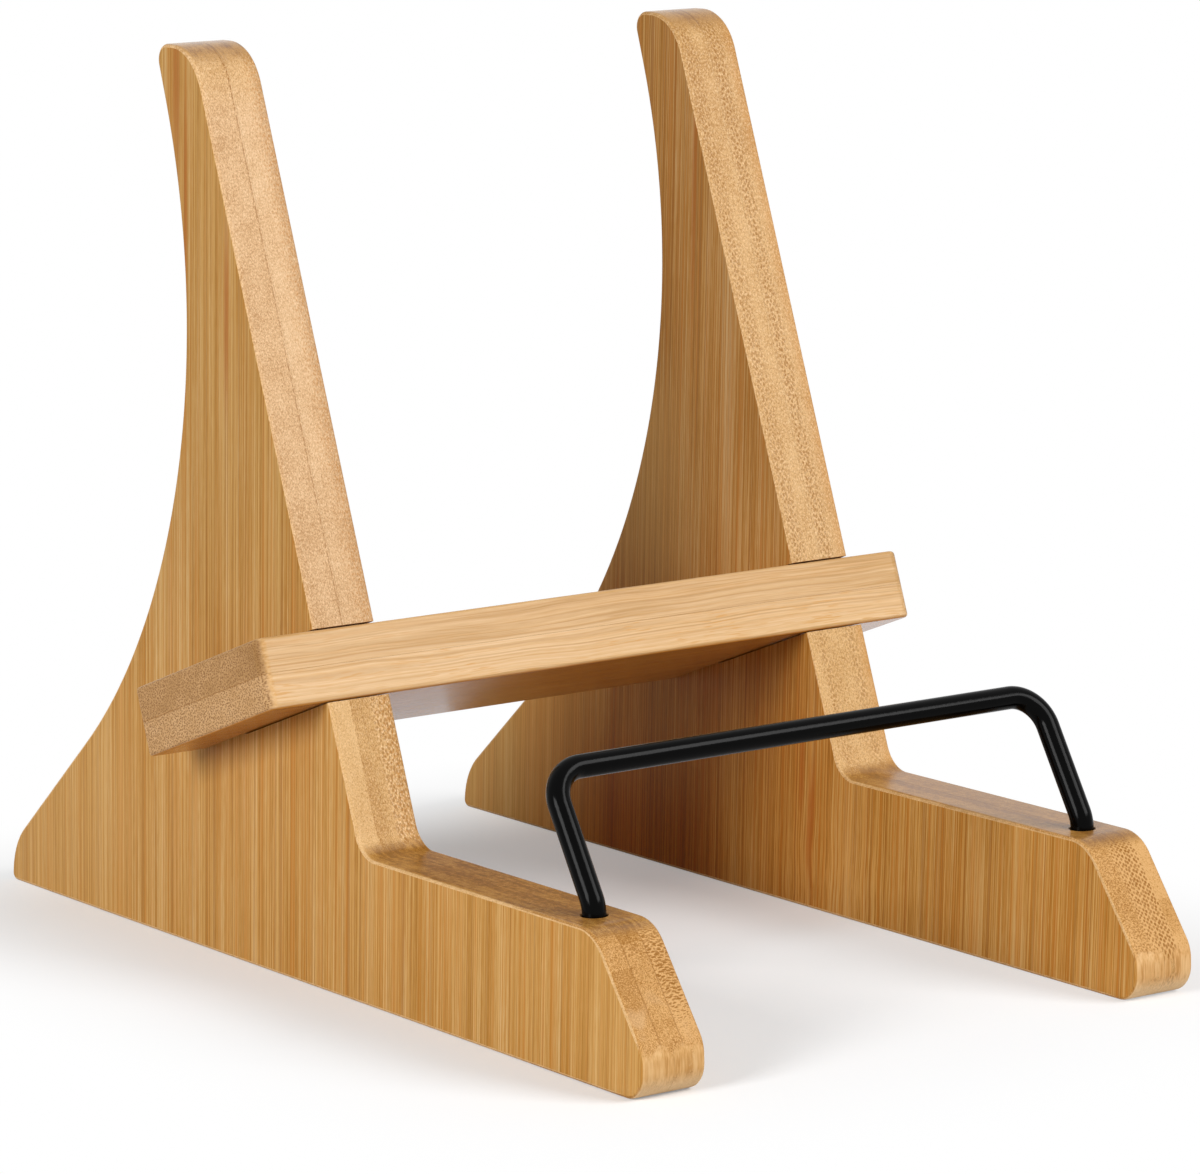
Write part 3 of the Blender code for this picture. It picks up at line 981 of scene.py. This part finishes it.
SIDE_TONES = {
    "face": [
        (0.1, (0.37, 0.163, 0.024)),
        (0.38, (0.46, 0.226, 0.048)),
        (0.5, (0.51, 0.266, 0.068)),
        (0.64, (0.56, 0.318, 0.104)),
        (0.9, (0.65, 0.42, 0.18)),
    ],
    "lip": [(0.2, (0.50, 0.25, 0.078)), (0.5, (0.67, 0.385, 0.155)), (0.8, (0.78, 0.50, 0.24))],
    "flush": (0.50, 0.20, 0.030),
    "pale": (0.66, 0.39, 0.13),
    # Painted highlight on the rounded arrises
    "arris_highlight_tone": (0.80, 0.53, 0.27),
    "flame": (0.42, 0.135, 0.020),
    # Painted shade and shadow on the right panel's inner face
    "shaded": (0.90, 0.80, 0.66),
    "painted_deep_shadow": (0.80, 0.58, 0.25),
    "painted_warm_shade": (1.06, 0.94, 0.78),
    # Painted light under the lips
    "lit": (0.99, 0.76, 0.47),
    "bright": (0.93, 0.70, 0.44),
    "bundle": (0.30, 0.125, 0.022),
    "dark": (0.28, 0.115, 0.022),
    "dot": (0.25, 0.10, 0.022),
    "peach": [
        (0.22, (0.46, 0.255, 0.110)),
        (0.5, (0.68, 0.435, 0.235)),
        (0.78, (0.79, 0.56, 0.34)),
    ],
    "golden": [
        (0.22, (0.40, 0.20, 0.060)),
        (0.5, (0.62, 0.375, 0.155)),
        (0.78, (0.75, 0.49, 0.240)),
    ],
    "nose": [(0.2, (0.36, 0.165, 0.040)), (0.5, (0.51, 0.263, 0.078)), (0.8, (0.66, 0.38, 0.150))],
    "end": [(0.2, (0.24, 0.103, 0.018)), (0.5, (0.35, 0.158, 0.027)), (0.8, (0.46, 0.232, 0.052))],
    "pore": (0.15, 0.055, 0.010),
    "sanded": (0.64, 0.40, 0.20),
    "right": (0.93, 0.86, 0.72),
    # Painted shade: how much darker and greyer the faces grow toward the top
    "high": [(0.0, (1.0, 1.0, 1.0)), (1.0, (0.86, 0.88, 0.90))],
    "high_right": [(0.0, (1.0, 1.0, 1.0)), (1.0, (0.79, 0.81, 0.98))],
}
BRACE_TONES = {
    "face": [
        (0.1, (0.48, 0.265, 0.09)),
        (0.38, (0.61, 0.375, 0.168)),
        (0.5, (0.67, 0.43, 0.215)),
        (0.64, (0.72, 0.485, 0.265)),
        (0.9, (0.80, 0.57, 0.35)),
    ],
    # Painted shade on the brace's underside
    "flat": (0.94, 0.67, 0.29),
    "flush": (0.62, 0.32, 0.09),
    "pale": (0.80, 0.56, 0.31),
    "figure": (0.50, 0.28, 0.095),
    "dark": (0.36, 0.17, 0.05),
    "dot": (0.20, 0.090, 0.028),
    "upper": (0.92, 0.895, 0.85),
    "lower": (1.0, 1.0, 1.0),
    "end": [(0.2, (0.33, 0.175, 0.062)), (0.5, (0.51, 0.298, 0.130)), (0.8, (0.72, 0.47, 0.25))],
}

# The floor as the camera and the glosses see it, and as it throws light back
FLOOR_WHITE = (0.985, 0.992, 1.0)
FLOOR_DULL = (0.56, 0.50, 0.43)
FLOOR_HALF_WIDTH = 20

# The ground under the stand that keeps its shadow, and how far around it the floor fades to white
GROUND_HALF_WIDTH = 0.083
GROUND_REAR = 0.10
FADE_WIDTH = 0.085


def seen_rays(finish):
    """1 for a ray that shows the backdrop: from the camera, or by a gloss or through glass."""
    paths = finish.node("LightPath")
    kinds = ("Is Camera Ray", "Is Glossy Ray", "Is Transmission Ray")
    camera, gloss, glass = (finish.read(paths, kind) for kind in kinds)
    return finish.maths("MAXIMUM", finish.maths("MAXIMUM", camera, gloss), glass)


def white_floor():
    """A white floor that keeps the shadow near the stand and fades to plain white around it."""
    finish = Finish("white_floor")
    place = finish.place()
    seen = seen_rays(finish)
    finish.set(base_color=finish.mix(seen, FLOOR_DULL, FLOOR_WHITE), roughness=0.7)
    finish.set(specular_ior_level=0.0)
    x, y = finish.along(place, ACROSS, 1), finish.along(place, (0, 1, 0), 1)
    beside = finish.maths("MAXIMUM", abs(x) - GROUND_HALF_WIDTH, 0.0)
    behind = finish.maths("MAXIMUM", 0.75 * (y - GROUND_REAR), 0.0)
    before = finish.maths("MAXIMUM", LIP - y, 0.0)
    away = (beside**2 + (behind + before) ** 2) ** 0.5
    # Painted light: the floor glows whiter toward the front right of the stand, lightening its
    # shadow there
    painted_floor_light = 0.25 + 0.22 * finish.ease(x, 0.0, 0.05) * finish.ease(y, -0.02, -0.06)
    fade = finish.ease(away, 0.0, FADE_WIDTH, painted_floor_light, 1.0)
    glow = finish.node("Emission", None, {"Color": (1, 1, 1, 1), "Strength": 1.0})
    both = finish.node("MixShader", None, {0: seen * fade})
    output = finish.tree.nodes["Material Output"]
    finish.tree.links.new(finish.shader.outputs[0], both.inputs[1])
    finish.tree.links.new(glow.outputs[0], both.inputs[2])
    finish.tree.links.new(both.outputs[0], output.inputs["Surface"])
    return finish.material


def make_floor():
    bm = bmesh.new()
    bmesh.ops.create_grid(bm, x_segments=1, y_segments=1, size=FLOOR_HALF_WIDTH)
    floor = new_object("floor", bm)
    floor.data.materials.append(white_floor())


# The lamps: name, place, size and power. Both are aimed at the middle of the stand
LAMPS = [
    ("left_softbox", (-1.55, -0.4, 0.68), (0.66, 0.7), 21),
    ("front_softbox", (0.8, -1.36, 1.05), (0.9, 0.8), 25),
]
LAMP_AIM = Vector((0, 0, 0.1))

# How bright the white surroundings are as a light
WORLD_LEVEL = 0.27


def light_the_stand():
    """Two soft lamps, and white surroundings that the camera and the glosses see as plain white."""
    for name, place, size, power in LAMPS:
        lamp = bpy.data.lights.new(name, "AREA")
        lamp.shape = "RECTANGLE"
        lamp.size, lamp.size_y = size
        lamp.energy = power
        made = bpy.data.objects.new(name, lamp)
        made.location = place
        made.rotation_euler = (LAMP_AIM - Vector(place)).to_track_quat("-Z", "Y").to_euler()
        bpy.context.scene.collection.objects.link(made)

    world = bpy.data.worlds.new("plain_white")
    bpy.context.scene.world = world
    world.use_nodes = True
    nodes, links = world.node_tree.nodes, world.node_tree.links
    paths = nodes.new("ShaderNodeLightPath")
    strength = nodes.new("ShaderNodeMix")
    strength.data_type = "FLOAT"
    strength.inputs[2].default_value = WORLD_LEVEL
    strength.inputs[3].default_value = 1.0
    either = nodes.new("ShaderNodeMath")
    either.operation = "MAXIMUM"
    links.new(paths.outputs["Is Camera Ray"], either.inputs[0])
    links.new(paths.outputs["Is Glossy Ray"], either.inputs[1])
    links.new(either.outputs[0], strength.inputs[0])
    surroundings = nodes["Background"]
    surroundings.inputs["Color"].default_value = (1, 1, 1, 1)
    links.new(strength.outputs[0], surroundings.inputs["Strength"])


# The camera of the photograph: its place, its azimuth, elevation and roll in degrees, its focal
# length in pixels for the width of the picture, and the width of its sensor in millimetres
CAMERA_PLACE = (-0.783304, LIP - 1.005532, 0.334411)
CAMERA_TURNS = (-34.5231, 9.9019, 1.0988)
FOCAL_PIXELS = 5532.298
PICTURE_WIDTH = 1200
SENSOR_WIDTH = 36


def make_camera():
    azimuth, elevation, roll = (math.radians(a) for a in CAMERA_TURNS)
    flat = math.cos(elevation)
    back = Vector((math.sin(azimuth) * flat, -math.cos(azimuth) * flat, math.sin(elevation)))
    right = (-back).cross(Vector((0, 0, 1))).normalized()
    down = (-back).cross(right)
    rolled_right = right * math.cos(roll) + down * math.sin(roll)
    rolled_down = down * math.cos(roll) - right * math.sin(roll)
    turn = Matrix((rolled_right, -rolled_down, back)).transposed().to_4x4()
    camera = bpy.data.objects.new("camera", bpy.data.cameras.new("camera"))
    camera.data.sensor_width = SENSOR_WIDTH
    camera.data.sensor_fit = "HORIZONTAL"
    camera.data.lens = FOCAL_PIXELS / PICTURE_WIDTH * SENSOR_WIDTH
    camera.data.clip_end = 100
    camera.matrix_world = Matrix.Translation(CAMERA_PLACE) @ turn
    bpy.context.scene.collection.objects.link(camera)
    bpy.context.scene.camera = camera


make_panels(side_bamboo())
make_brace(brace_bamboo())
make_wire_stop(black_coating())
make_floor()
light_the_stand()
make_camera()
bpy.context.scene.view_settings.view_transform = "Standard"
